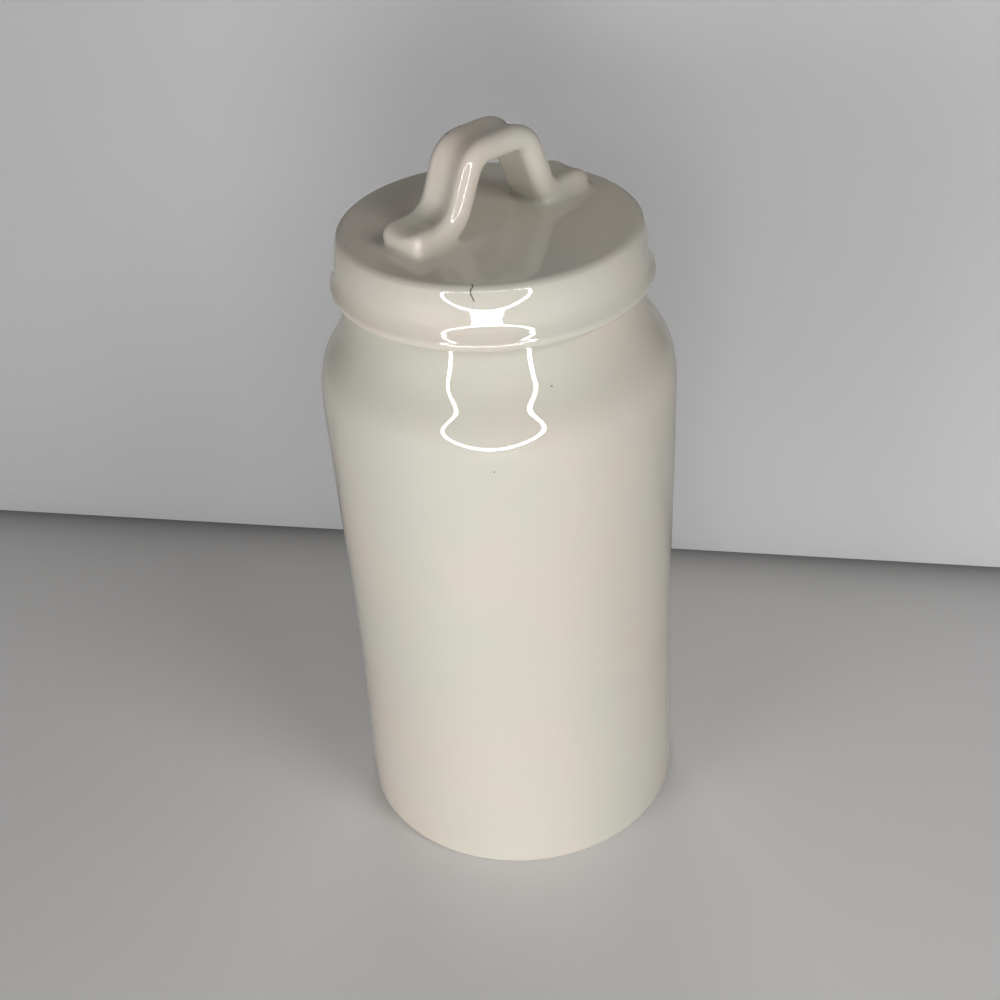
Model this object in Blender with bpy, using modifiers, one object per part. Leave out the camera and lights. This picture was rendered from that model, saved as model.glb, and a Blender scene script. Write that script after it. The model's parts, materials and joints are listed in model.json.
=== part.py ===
"""Tall ceramic cookie jar: a turned body, a plug lid with a strap handle, and a silicone seal.

The jar stands on its foot ring with the origin at the middle of its base, +Z up.
The handle runs along X. All lengths are in metres and all angles in degrees.
"""

import math

import bmesh
import bpy

# Smoothness of the round pieces, the wall's curves, the corners and the strap's bends
TURN_STEPS = 56
WALL_SEGMENTS = 5
CORNER_SEGMENTS = 3
BEND_SEGMENTS = 6
TIP_SEGMENTS = 6
MERGE_DISTANCE = 0.00001
SHARP_ANGLE = 38.0

# Clearances
PIECE_GAP = 0.0003
PLUG_CLEARANCE = 0.0016

# Jar body, turned about Z
BODY_RADIUS = 0.0639
FOOT_INSET = 0.0006
WAIST_INSET = 0.0015
WAIST_HEIGHT = 0.078
SHOULDER_INSET = 0.0105
SHOULDER_ROUND = 0.032
NECK_COVE = 0.025
NECK_HEIGHT = 0.006
RIM_HEIGHT = 0.2249
RIM_ROUND = 0.0013
WALL = 0.005
FLOOR = 0.0055
FLOOR_CORNER = 0.010
BASE_ROUND = 0.0022
FOOT_RING_WIDTH = 0.007
FOOT_RECESS = 0.0025
FOOT_SLOPE = 0.002

# Lid, drain cast with an even wall
LID_OVERHANG = 0.0027
LID_HEIGHT = 0.0215
LID_CROWN = 0.0013
LID_EDGE_ROUND = 0.0042
LID_DRAFT = 0.0005
LID_WALL = 0.005
LID_INSIDE_CORNER = 0.003
BEAD_PROJECTION = 0.0019
BEAD_ROUND = 0.0026
BEAD_COVE = 0.008

# Plug under the lid and the seal ring in its groove
PLUG_WALL = 0.0045
PLUG_ROUND = 0.0012
GROOVE_DEPTH = 0.0016
GROOVE_TOP = 0.0025
GROOVE_HEIGHT = 0.008
GROOVE_LIP = 0.0035
FIN_SPACING = 0.0024
FIN_ROOT = 0.0014
FIN_TIP = 0.0007
FIN_LIFT = 0.0004

# Strap handle, sized above the middle of the lid. The near foot (-X) is pressed out a little shorter.
HANDLE_HEIGHT = 0.0311
STRAP_WIDTH = 0.0205
STRAP_THICKNESS = 0.0090
STRAP_ROUND = 0.0042
LEG_LEAN = 22.5
LEG_TOP_X = 0.0110
TOP_FILLET = 0.0041
FOOT_FILLET = 0.0018
FAR_FOOT_MARGIN = 0.0077
NEAR_FOOT_MARGIN = 0.0108
FOOT_WIDTH = 0.0186
FOOT_HEIGHT = 0.0066
FOOT_SINK = 0.0040
TIP_LENGTH = 0.0055
TIP_DROP = 0.0036
TIP_SQUARENESS = 2.6
TIP_TURN = 80.0

# Sizes that follow from the ones above
NECK_RADIUS = BODY_RADIUS - SHOULDER_INSET
MOUTH_RADIUS = NECK_RADIUS - WALL
LEDGE_HEIGHT = RIM_HEIGHT + PIECE_GAP
LID_RADIUS = NECK_RADIUS + LID_OVERHANG
LID_WALL_RADIUS = LID_RADIUS - BEAD_PROJECTION
LID_TOP = LEDGE_HEIGHT + LID_HEIGHT
LID_TOP_RADIUS = LID_WALL_RADIUS - LID_DRAFT
LID_FLAT_RADIUS = LID_TOP_RADIUS - LID_EDGE_ROUND
FAR_REACH = LID_FLAT_RADIUS - FAR_FOOT_MARGIN
NEAR_REACH = LID_FLAT_RADIUS - NEAR_FOOT_MARGIN
PLUG_RADIUS = MOUTH_RADIUS - PLUG_CLEARANCE
GROOVE_RADIUS = PLUG_RADIUS - GROOVE_DEPTH
PLUG_DEPTH = GROOVE_TOP + GROOVE_HEIGHT + GROOVE_LIP
PLUG_BORE = GROOVE_RADIUS - PLUG_WALL

# Colours and finish: base colour, roughness, metallic
GLAZE = ((0.72, 0.67, 0.585, 1.0), 0.12, 0.0)
SILICONE = ((0.80, 0.79, 0.76, 1.0), 0.45, 0.0)


def arc(centre, radius, start, end, segments):
    """Points of an arc in the profile plane, from one angle to the other."""
    points = []
    for i in range(segments + 1):
        angle = math.radians(start + (end - start) * i / segments)
        points.append((centre[0] + radius * math.cos(angle), centre[1] + radius * math.sin(angle)))
    return points


def ogee(narrow, wide, cove, bulge, bottom, segments):
    """A hollow curve that flows into a full one, from the narrow radius down to the wide one."""
    reach = cove + bulge
    turn = math.acos(1 - (wide - narrow) / reach)
    height = reach * math.sin(turn)
    degrees = math.degrees(turn)
    hollow = arc((narrow + cove, bottom + height), cove, 180, 180 + degrees, segments)
    full = arc((wide - bulge, bottom), bulge, degrees, 0, segments)
    return hollow + full[1:]


def eased_wall(upper, lower, segments):
    """A wall that leaves the upper point and meets the lower one upright, with no corner."""
    points = []
    for i in range(segments + 1):
        share = i / segments
        blend = (1 - math.cos(math.pi * share)) / 2
        radius = upper[0] + (lower[0] - upper[0]) * blend
        points.append((radius, upper[1] + (lower[1] - upper[1]) * share))
    return points


def inset(points, distance):
    """The same outline moved inwards by an even wall, square to the curve at each point."""
    moved = []
    for i, (radius, height) in enumerate(points):
        before = points[max(i - 1, 0)]
        after = points[min(i + 1, len(points) - 1)]
        along = (after[0] - before[0], after[1] - before[1])
        length = math.hypot(*along)
        moved.append((radius + distance * along[1] / length, height - distance * along[0] / length))
    return moved


def crown_height(radius):
    """Height of the lid's gently domed top at a distance from its middle."""
    return LID_TOP + LID_CROWN * (1 - (radius / LID_FLAT_RADIUS) ** 2)


def crown_profile(lift):
    """Points of the domed top from its middle to its edge, raised by a gap."""
    radii = [LID_FLAT_RADIUS * i / WALL_SEGMENTS for i in range(WALL_SEGMENTS + 1)]
    return [(radius, crown_height(radius) + lift) for radius in radii]


def material(name, finish):
    """A Principled material from a base colour, a roughness and a metallic value."""
    result = bpy.data.materials.new(name)
    result.use_nodes = True
    shader = result.node_tree.nodes["Principled BSDF"]
    shader.inputs["Base Color"].default_value = finish[0]
    shader.inputs["Roughness"].default_value = finish[1]
    shader.inputs["Metallic"].default_value = finish[2]
    return result


def add_object(name, mesh, collection):
    """Put a mesh in the scene as a named object."""
    result = bpy.data.objects.new(name, mesh)
    collection.objects.link(result)
    return result


def turned(name, profile, closed, collection):
    """Turn a profile of (radius, height) points about Z with a Screw modifier."""
    shape = bmesh.new()
    vertices = [shape.verts.new((radius, 0.0, height)) for radius, height in profile]
    for first, second in zip(vertices, vertices[1:]):
        shape.edges.new((first, second))
    if closed:
        shape.edges.new((vertices[-1], vertices[0]))
    mesh = bpy.data.meshes.new(name)
    shape.to_mesh(mesh)
    shape.free()
    result = add_object(name, mesh, collection)
    screw = result.modifiers.new("Turn", "SCREW")
    screw.axis = "Z"
    screw.angle = math.tau
    screw.steps = TURN_STEPS
    screw.render_steps = TURN_STEPS
    screw.use_merge_vertices = True
    screw.merge_threshold = MERGE_DISTANCE
    screw.use_smooth_shade = True
    return result


def jar_outer_wall():
    """The body's outside, from under the rim's lip down to the rounded edge of its base."""
    foot_radius = BODY_RADIUS - FOOT_INSET
    waist_radius = BODY_RADIUS - WAIST_INSET
    turn = math.acos(1 - SHOULDER_INSET / (SHOULDER_ROUND + NECK_COVE))
    neck_bottom = RIM_HEIGHT - NECK_HEIGHT
    bulge_height = neck_bottom - (SHOULDER_ROUND + NECK_COVE) * math.sin(turn)
    wall = [(NECK_RADIUS, RIM_HEIGHT - RIM_ROUND)]
    wall += ogee(NECK_RADIUS, BODY_RADIUS, NECK_COVE, SHOULDER_ROUND, bulge_height, WALL_SEGMENTS)
    wall += eased_wall((BODY_RADIUS, bulge_height), (waist_radius, WAIST_HEIGHT), WALL_SEGMENTS)[1:]
    wall += eased_wall((waist_radius, WAIST_HEIGHT), (foot_radius, BASE_ROUND), WALL_SEGMENTS)[1:]
    return wall


def jar_profile():
    """The body's section, from the middle of its floor, up inside, over the rim and down outside."""
    outer = jar_outer_wall()
    floor_top = FOOT_RECESS + FLOOR
    corner_top = floor_top + FLOOR_CORNER
    inner = [point for point in reversed(inset(outer, WALL)[1:]) if point[1] > corner_top]
    inner_radius = inner[0][0]
    rim_corner = RIM_HEIGHT - RIM_ROUND
    foot_radius = outer[-1][0]
    ring_outer = foot_radius - BASE_ROUND
    ring_inner = ring_outer - FOOT_RING_WIDTH
    profile = [(0.0, floor_top)]
    profile += arc((inner_radius - FLOOR_CORNER, corner_top), FLOOR_CORNER, -90, 0, WALL_SEGMENTS)
    profile += inner[1:]
    profile += arc((MOUTH_RADIUS + RIM_ROUND, rim_corner), RIM_ROUND, 180, 90, CORNER_SEGMENTS)
    profile += arc((NECK_RADIUS - RIM_ROUND, rim_corner), RIM_ROUND, 90, 0, CORNER_SEGMENTS)
    profile += outer[1:-1]
    profile += arc((ring_outer, BASE_ROUND), BASE_ROUND, 0, -90, CORNER_SEGMENTS)
    profile += [(ring_inner, 0.0), (ring_inner - FOOT_SLOPE, FOOT_RECESS), (0.0, FOOT_RECESS)]
    return profile


def lid_profile():
    """The lid's section, from the middle of its top, down outside, round the plug and up inside."""
    bead_centre = LEDGE_HEIGHT + BEAD_ROUND
    ring_corner = LEDGE_HEIGHT - PLUG_DEPTH + PLUG_ROUND
    groove_top = LEDGE_HEIGHT - GROOVE_TOP
    groove_bottom = groove_top - GROOVE_HEIGHT
    shelf = LEDGE_HEIGHT + LID_WALL
    ceiling = LID_TOP - LID_WALL
    hollow_radius = LID_TOP_RADIUS - LID_WALL
    profile = crown_profile(0.0)[:-1]
    profile += arc((LID_FLAT_RADIUS, LID_TOP - LID_EDGE_ROUND), LID_EDGE_ROUND, 90, 0, WALL_SEGMENTS)
    profile += ogee(LID_WALL_RADIUS, LID_RADIUS, BEAD_COVE, BEAD_ROUND, bead_centre, CORNER_SEGMENTS)
    profile += arc((LID_RADIUS - BEAD_ROUND, bead_centre), BEAD_ROUND, 0, -90, WALL_SEGMENTS)[1:]
    profile += [(PLUG_RADIUS, LEDGE_HEIGHT), (PLUG_RADIUS, groove_top)]
    profile += [(GROOVE_RADIUS, groove_top), (GROOVE_RADIUS, groove_bottom), (PLUG_RADIUS, groove_bottom)]
    profile += arc((PLUG_RADIUS - PLUG_ROUND, ring_corner), PLUG_ROUND, 0, -90, CORNER_SEGMENTS)
    profile += arc((PLUG_BORE + PLUG_ROUND, ring_corner), PLUG_ROUND, -90, -180, CORNER_SEGMENTS)
    profile += arc((PLUG_BORE + PLUG_ROUND, shelf - PLUG_ROUND), PLUG_ROUND, 180, 90, CORNER_SEGMENTS)
    profile += arc((hollow_radius - LID_INSIDE_CORNER, shelf + LID_INSIDE_CORNER),
                   LID_INSIDE_CORNER, -90, 0, CORNER_SEGMENTS)
    profile += arc((hollow_radius - LID_INSIDE_CORNER, ceiling - LID_INSIDE_CORNER),
                   LID_INSIDE_CORNER, 0, 90, CORNER_SEGMENTS)
    profile += [(0.0, ceiling + LID_CROWN)]
    return profile


def seal_profile():
    """The seal's section: a flat band that fills the groove, with fins that reach the mouth."""
    top = LEDGE_HEIGHT - GROOVE_TOP - PIECE_GAP
    bottom = LEDGE_HEIGHT - GROOVE_TOP - GROOVE_HEIGHT + PIECE_GAP
    inner = GROOVE_RADIUS + PIECE_GAP
    band = PLUG_RADIUS
    tip = MOUTH_RADIUS - PIECE_GAP
    fin_count = int((top - bottom) / FIN_SPACING)
    pitch = (top - bottom) / fin_count
    profile = [(inner, bottom), (inner, top), (band, top)]
    for fin in range(fin_count):
        middle = top - pitch * (fin + 0.5)
        profile += [(band, middle + FIN_ROOT / 2)]
        profile += [(tip, middle + FIN_LIFT + FIN_TIP / 2), (tip, middle + FIN_LIFT - FIN_TIP / 2)]
        profile += [(band, middle - FIN_ROOT / 2)]
    profile += [(band, bottom)]
    return profile


def half_strap_stations(reach):
    """Stations along half of the strap, from the middle of its top to the tip of one foot.

    Each is (x, z, direction, width, thickness), with z above the middle of the lid.
    The direction is the way the strap runs, in degrees below level.
    """
    top = HANDLE_HEIGHT - STRAP_THICKNESS / 2
    turn = 90 - LEG_LEAN
    half_turn = math.tan(math.radians(turn / 2))
    foot_thickness = FOOT_HEIGHT + FOOT_SINK
    foot_middle = FOOT_HEIGHT - foot_thickness / 2
    top_bend = STRAP_THICKNESS / 2 + TOP_FILLET
    foot_bend = foot_thickness / 2 + FOOT_FILLET
    knee_x = LEG_TOP_X + (top - foot_middle) * math.tan(math.radians(LEG_LEAN))
    upper = (LEG_TOP_X - top_bend * half_turn, top - top_bend)
    lower = (knee_x + foot_bend * half_turn, foot_middle + foot_bend)
    stations = [(0.0, top, 0.0, STRAP_WIDTH, STRAP_THICKNESS)]
    for i, (x, z) in enumerate(arc(upper, top_bend, 90, LEG_LEAN, BEND_SEGMENTS)):
        stations.append((x, z, turn * i / BEND_SEGMENTS, STRAP_WIDTH, STRAP_THICKNESS))
    for i, (x, z) in enumerate(arc(lower, foot_bend, 180 + LEG_LEAN, 270, BEND_SEGMENTS)):
        share = i / BEND_SEGMENTS
        width = STRAP_WIDTH + (FOOT_WIDTH - STRAP_WIDTH) * share
        thickness = STRAP_THICKNESS + (foot_thickness - STRAP_THICKNESS) * share
        stations.append((x, z, turn * (1 - share), width, thickness))
    for i in range(TIP_SEGMENTS + 1):
        angle = math.radians(TIP_TURN * i / TIP_SEGMENTS)
        x = reach - TIP_LENGTH * (1 - math.sin(angle))
        drop = TIP_DROP * (1 - math.cos(angle)) / 2
        width = FOOT_WIDTH * (1 - math.sin(angle) ** TIP_SQUARENESS) ** (1 / TIP_SQUARENESS)
        stations.append((x, foot_middle - drop, 0.0, width, foot_thickness - 2 * drop))
    return stations


def strap_stations():
    """Stations along the whole strap, from the near foot's tip over the top to the far foot's."""
    near = half_strap_stations(NEAR_REACH)[1:]
    turned_round = [(-x, z, -direction, width, thickness) for x, z, direction, width, thickness in near]
    return turned_round[::-1] + half_strap_stations(FAR_REACH)


def strap_ring(shape, station):
    """One rounded cross-section of the strap, square to the way it runs."""
    x, z, direction, width, thickness = station
    tilt = math.radians(direction)
    rounding = min(STRAP_ROUND, width / 2, thickness / 2)
    half_width = width / 2 - rounding
    half_height = thickness / 2 - rounding
    ring = []
    for side, level, start in ((1, 1, 0), (-1, 1, 90), (-1, -1, 180), (1, -1, 270)):
        centre = (side * half_width, level * half_height)
        for across, up in arc(centre, rounding, start, start + 90, CORNER_SEGMENTS):
            ring.append(shape.verts.new((x + up * math.sin(tilt), across, z + up * math.cos(tilt))))
    return ring


def handle_mesh():
    """The whole strap, with the underside of its feet below the lid's surface."""
    shape = bmesh.new()
    rings = [strap_ring(shape, station) for station in strap_stations()]
    for first, second in zip(rings, rings[1:]):
        for i in range(len(first)):
            following = (i + 1) % len(first)
            shape.faces.new((first[i], first[following], second[following], second[i]))
    shape.faces.new(rings[0])
    shape.faces.new(rings[-1])
    bmesh.ops.recalc_face_normals(shape, faces=shape.faces)
    mesh = bpy.data.meshes.new("lid_handle")
    shape.to_mesh(mesh)
    shape.free()
    return mesh


def handle_seat_profile():
    """The lid's domed top with the joint's gap over it, as a solid that trims the strap's feet."""
    depth = LID_TOP - 2 * (FOOT_SINK + LID_CROWN)
    return crown_profile(PIECE_GAP) + [(LID_FLAT_RADIUS, depth), (0.0, depth)]


def build_jar_body(collection):
    """The body, one turned shell with a floor and a foot ring."""
    body = turned("jar_body", jar_profile(), False, collection)
    body.data.materials.append(material("jar_glaze", GLAZE))
    return body


def build_lid(collection):
    """The lid, one turned shell with its plug."""
    lid = turned("lid", lid_profile(), False, collection)
    lid.data.materials.append(material("lid_glaze", GLAZE))
    return lid


def build_seal(collection):
    """The silicone ring in the plug's groove."""
    seal = turned("seal_ring", seal_profile(), True, collection)
    seal.data.materials.append(material("seal_silicone", SILICONE))
    return seal


def build_handle(collection, cutters):
    """The strap handle, trimmed to sit on the domed lid."""
    handle = add_object("lid_handle", handle_mesh(), collection)
    handle.location = (0.0, 0.0, LID_TOP + LID_CROWN)
    handle.data.materials.append(material("handle_glaze", GLAZE))
    seat = turned("handle_seat", handle_seat_profile(), False, cutters)
    seat.hide_render = True
    seat.display_type = "WIRE"
    trim = handle.modifiers.new("Seat on the lid", "BOOLEAN")
    trim.operation = "DIFFERENCE"
    trim.solver = "EXACT"
    trim.object = seat
    handle.data.shade_smooth()
    handle.data.set_sharp_from_angle(angle=math.radians(SHARP_ANGLE))
    return handle


def build():
    """Clear the scene and model the four pieces, with the lid's pieces on its turning axis."""
    for old in list(bpy.data.objects):
        bpy.data.objects.remove(old, do_unlink=True)
    jar_pieces = bpy.data.collections.new("cookie_jar")
    cutters = bpy.data.collections.new("cutters")
    bpy.context.scene.collection.children.link(jar_pieces)
    bpy.context.scene.collection.children.link(cutters)
    build_jar_body(jar_pieces)
    lift = bpy.data.objects.new("lid_lift_axis", None)
    lift.location = (0.0, 0.0, 0.0)
    jar_pieces.objects.link(lift)
    for piece in (build_seal(jar_pieces), build_lid(jar_pieces), build_handle(jar_pieces, cutters)):
        piece.parent = lift
    bpy.context.view_layer.update()


build()
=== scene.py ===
# %% [markdown]
# # A glazed cookie jar with a strap handle
# The jar is slip-cast stoneware: a tall turned body, a lid with a plug that drops into the mouth, a
# strap of clay bent into a handle and luted to the lid, and a silicone seal round the plug. The
# solid model already has these pieces with their real sizes and joints. This file gives each one
# the smooth curves, the slight unevenness and the glaze of the real thing, then lights it and
# points a camera at it.
#
# First the solid model is loaded. The dressed jar may not grow out of it.

import json
import math
from collections import namedtuple

import bmesh
import bpy
import numpy as np
from mathutils import Matrix, Vector, noise
from mathutils.bvhtree import BVHTree

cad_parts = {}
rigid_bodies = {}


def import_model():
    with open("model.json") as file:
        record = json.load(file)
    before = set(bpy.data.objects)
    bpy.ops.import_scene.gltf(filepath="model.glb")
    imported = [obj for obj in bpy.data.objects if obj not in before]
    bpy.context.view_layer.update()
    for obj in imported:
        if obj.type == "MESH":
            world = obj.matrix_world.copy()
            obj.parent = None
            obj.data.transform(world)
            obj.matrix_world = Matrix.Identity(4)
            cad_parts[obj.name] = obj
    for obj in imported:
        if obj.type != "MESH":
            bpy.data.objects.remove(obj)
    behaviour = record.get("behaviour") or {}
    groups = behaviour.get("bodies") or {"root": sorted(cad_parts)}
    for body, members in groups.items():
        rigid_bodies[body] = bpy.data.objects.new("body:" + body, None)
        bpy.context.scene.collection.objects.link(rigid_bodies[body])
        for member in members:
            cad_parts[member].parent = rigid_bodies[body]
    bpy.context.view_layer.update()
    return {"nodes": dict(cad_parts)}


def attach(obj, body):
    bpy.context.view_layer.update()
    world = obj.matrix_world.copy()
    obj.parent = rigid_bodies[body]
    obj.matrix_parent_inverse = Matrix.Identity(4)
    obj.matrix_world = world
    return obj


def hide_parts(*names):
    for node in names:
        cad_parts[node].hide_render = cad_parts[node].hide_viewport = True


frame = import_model()
print("solid pieces:", sorted(frame["nodes"]))

# %% [markdown]
# ## Writing node trees as sums
# Shaders and Geometry Nodes are both graphs of small sums, which are slow to read as lists of
# links. A `Field` is one output of a node, and adding or multiplying two fields adds the Math node
# that does it. Any other node comes from `Bench.add`, with its settings first and its inputs
# second.

# %% A bench for building node trees
class Field:
    """One output of a node, which ordinary sums can use."""

    def __init__(self, bench, socket):
        self.bench = bench
        self.socket = socket

    def sum(self, operation, *others):
        inputs = dict(enumerate((self,) + others))
        return self.bench.add("ShaderNodeMath", {"operation": operation}, inputs)

    def __add__(self, other):
        return self.sum("ADD", other)

    def __sub__(self, other):
        return self.sum("SUBTRACT", other)

    def __rsub__(self, other):
        return self.bench.add("ShaderNodeMath", {"operation": "SUBTRACT"}, {0: other, 1: self})

    def __mul__(self, other):
        return self.sum("MULTIPLY", other)

    def __truediv__(self, other):
        return self.sum("DIVIDE", other)

    def __rtruediv__(self, other):
        return self.bench.add("ShaderNodeMath", {"operation": "DIVIDE"}, {0: other, 1: self})

    __radd__ = __add__
    __rmul__ = __mul__

    def output(self, name):
        """Another output of the same node."""
        return Field(self.bench, self.socket.node.outputs[name])

    def step(self, low, high):
        """0 below the first value, 1 above the second, and a smooth rise between them."""
        inputs = {"Value": self, "From Min": low, "From Max": high}
        return self.bench.add("ShaderNodeMapRange", {"interpolation_type": "SMOOTHSTEP"}, inputs)


class Bench:
    """A node tree, with one method that adds a node of any kind to it."""

    def __init__(self, tree):
        self.tree = tree

    def add(self, kind, settings=None, inputs=None, output=0):
        node = self.tree.nodes.new(kind)
        for name, value in (settings or {}).items():
            setattr(node, name, value)
        for name, value in (inputs or {}).items():
            if isinstance(value, Field):
                self.tree.links.new(value.socket, node.inputs[name])
            else:
                node.inputs[name].default_value = value
        return Field(self, node.outputs[output]) if node.outputs else node

    def blend(self, share, first, second):
        """A colour between two colours, through a Mix node."""
        inputs = {0: share, 6: first, 7: second}
        return self.add("ShaderNodeMix", {"data_type": "RGBA"}, inputs, output=2)


print("fields can be added, subtracted, multiplied and divided")

# %% [markdown]
# ## The wheel
# Body, lid and seal are all round, so each follows one rule: a section swept once round the upright
# axis. A Screw modifier would do that, but the real jar isn't perfectly true. Slip-cast walls sag
# and pull a little as they dry, and a mirror-bright glaze shows every tenth of a millimetre in the
# way it bends a highlight. So the sweep is a Geometry Nodes tree that also presses the wall in and
# out by a slow noise. A number called `free` on each point of the section says how far that point
# may move: all the way on an open wall, and not at all where two pieces have to fit.

# %% The wheel tree
MERGE = 0.000002


def wheel_tree():
    """A tree that sweeps a section round Z and lets its free walls wander."""
    tree = bpy.data.node_groups.new("turn_on_the_wheel", "GeometryNodeTree")
    tree.interface.new_socket(name="Section", in_out="INPUT", socket_type="NodeSocketGeometry")
    names = (("Steps round", "NodeSocketInt"), ("Uneven depth", "NodeSocketFloat"),
             ("Uneven size", "NodeSocketFloat"), ("Seed", "NodeSocketInt"),
             ("Glaze", "NodeSocketMaterial"))
    for name, kind in names:
        tree.interface.new_socket(name=name, in_out="INPUT", socket_type=kind)
    tree.interface.new_socket(name="Piece", in_out="OUTPUT", socket_type="NodeSocketGeometry")
    bench = Bench(tree)
    given = tree.nodes.new("NodeGroupInput")
    socket = {item.name: Field(bench, item) for item in given.outputs if item.name}
    section = socket["Section"]
    row = socket["Steps round"] + 1
    count = bench.add("GeometryNodeAttributeDomainSize", None, {"Geometry": section})
    grid = bench.add("GeometryNodeMeshGrid", None, {"Vertices X": count, "Vertices Y": row})
    index = bench.add("GeometryNodeInputIndex")
    place = ((index + 0.5) / row).sum("FLOOR")
    angle = (index - place * row) / socket["Steps round"] * math.tau
    here = bench.add("GeometryNodeInputPosition")
    point = bench.add("GeometryNodeSampleIndex", {"data_type": "FLOAT_VECTOR"},
                      {"Geometry": section, "Value": here, "Index": place})
    axes = bench.add("ShaderNodeSeparateXYZ", None, {0: point})
    turned = bench.add("ShaderNodeCombineXYZ", None,
                       {0: axes * angle.sum("COSINE"), 1: axes * angle.sum("SINE"),
                        2: axes.output("Z")})
    freedom = bench.add("GeometryNodeInputNamedAttribute", {"data_type": "FLOAT"}, {"Name": "free"})
    freedom = bench.add("GeometryNodeSampleIndex", {"data_type": "FLOAT"},
                        {"Geometry": section, "Value": freedom, "Index": place})
    shape = bench.add("GeometryNodeStoreNamedAttribute", {"data_type": "FLOAT"},
                      {"Geometry": grid, "Name": "free", "Value": freedom})
    shape = bench.add("GeometryNodeSetPosition", None, {"Geometry": shape, "Position": turned})
    shape = bench.add("GeometryNodeMergeByDistance", None, {"Geometry": shape, "Distance": MERGE})
    swell = bench.add("ShaderNodeTexNoise", {"noise_dimensions": "4D"},
                      {"Vector": here, "W": socket["Seed"], "Scale": 1 / socket["Uneven size"],
                       "Detail": 1.0, "Roughness": 0.4})
    stored = bench.add("GeometryNodeInputNamedAttribute", {"data_type": "FLOAT"}, {"Name": "free"})
    push = stored * swell.step(0.2, 0.8) * socket["Uneven depth"]
    normal = bench.add("GeometryNodeInputNormal")
    offset = bench.add("ShaderNodeVectorMath", {"operation": "SCALE"}, {0: normal, "Scale": push})
    shape = bench.add("GeometryNodeSetPosition", None, {"Geometry": shape, "Offset": offset})
    shape = bench.add("GeometryNodeSetShadeSmooth", None, {"Geometry": shape})
    shape = bench.add("GeometryNodeRealizeInstances", None, {"Geometry": shape})
    shape = bench.add("GeometryNodeSetMaterial", None,
                      {"Geometry": shape, "Material": socket["Glaze"]})
    result = tree.nodes.new("NodeGroupOutput")
    tree.links.new(shape.socket, result.inputs["Piece"])
    return tree


WHEEL = wheel_tree()
print("wheel tree:", len(WHEEL.nodes), "nodes")

# %% [markdown]
# ## Setting a piece down
# A tree only shows its result through a modifier. `throw` puts a section under the wheel tree, asks
# Blender for the finished mesh, keeps that mesh alone and drops the modifier, so that what is left
# is plain geometry that can ride on a body of the solid model. The mesh is turned right side out at
# the end, because a swept section doesn't know which of its sides is the air.

# %% Throwing a piece on the wheel
def add_piece(name, mesh):
    """An object of the scene, with its place in its mesh."""
    piece = bpy.data.objects.new(name, mesh)
    bpy.context.scene.collection.objects.link(piece)
    return piece


def face_outwards(mesh):
    """Merge what the sweep doubled and point every face at the air."""
    shape = bmesh.new()
    shape.from_mesh(mesh)
    bmesh.ops.remove_doubles(shape, verts=shape.verts, dist=MERGE)
    bmesh.ops.recalc_face_normals(shape, faces=shape.faces)
    shape.to_mesh(mesh)
    shape.free()
    mesh.shade_smooth()


def throw(name, section, glaze, steps, depth=0.0, size=0.04, seed=0):
    """Turn a section of (radius, height, free) points into a finished piece."""
    mesh = bpy.data.meshes.new(name + "_section")
    corners = [(radius, 0.0, height) for radius, height, free in section]
    mesh.from_pydata(corners, [(i, i + 1) for i in range(len(corners) - 1)], [])
    freedom = mesh.attributes.new("free", "FLOAT", "POINT")
    freedom.data.foreach_set("value", [free for radius, height, free in section])
    piece = add_piece(name, mesh)
    wheel = piece.modifiers.new("Wheel", "NODES")
    wheel.node_group = WHEEL
    values = {"Steps round": steps, "Uneven depth": -depth, "Uneven size": size, "Seed": seed,
              "Glaze": glaze}
    for item in WHEEL.interface.items_tree:
        if item.name in values:
            wheel[item.identifier] = values[item.name]
    graph = bpy.context.evaluated_depsgraph_get()
    piece.data = bpy.data.meshes.new_from_object(piece.evaluated_get(graph))
    piece.modifiers.clear()
    piece.data.name = name
    face_outwards(piece.data)
    print(f"{name}: {len(piece.data.polygons)} faces from {len(section)} points of its section")
    return piece


# %% [markdown]
# ## Lines of a section
# A potter's rib has only a few curves: an arc, an ogee that is hollow above and full below, and a
# long wall that bows very slightly. `rounded` eases the corners of a straight-sided outline, as a
# sponge does to leather-hard clay. `finely` adds points along long runs, so that the wall can bend
# between its ends.

# %% Curves for the sections
EASING_LIMIT = 0.45
EASING_STEPS = 4


def arc(centre, radius, start, end, segments):
    """Points of an arc in the section's plane, from one angle in degrees to the other."""
    angles = [math.radians(start + (end - start) * i / segments) for i in range(segments + 1)]
    return [(centre[0] + radius * math.cos(a), centre[1] + radius * math.sin(a)) for a in angles]


def ogee(narrow, wide, cove, bulge, bottom, segments, lean):
    """A hollow curve that flows into a full one, from the narrow radius down to the wide one."""
    turn = math.acos(1 - (wide - narrow) / (cove + bulge))
    height = (cove + bulge) * math.sin(turn)
    degrees = math.degrees(turn)
    hollow = arc((narrow + cove, bottom + height), cove, 180 + lean, 180 + degrees, segments)
    return hollow + arc((wide - bulge, bottom), bulge, degrees, 0, segments)[1:]


def eased_wall(upper, lower, segments):
    """A wall that leaves one point and meets the other upright, with no corner."""
    points = []
    for i in range(segments + 1):
        share = i / segments
        blend = (1 - math.cos(math.pi * share)) / 2
        radius = upper[0] + (lower[0] - upper[0]) * blend
        points.append((radius, upper[1] + (lower[1] - upper[1]) * share))
    return points


def inset(points, distance):
    """The same line moved inwards by an even wall."""
    line = np.array(points)
    along = np.gradient(line, axis=0)
    along /= np.linalg.norm(along, axis=1)[:, None]
    inwards = np.column_stack((along[:, 1], -along[:, 0]))
    return [tuple(point) for point in line + distance * inwards]


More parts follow.
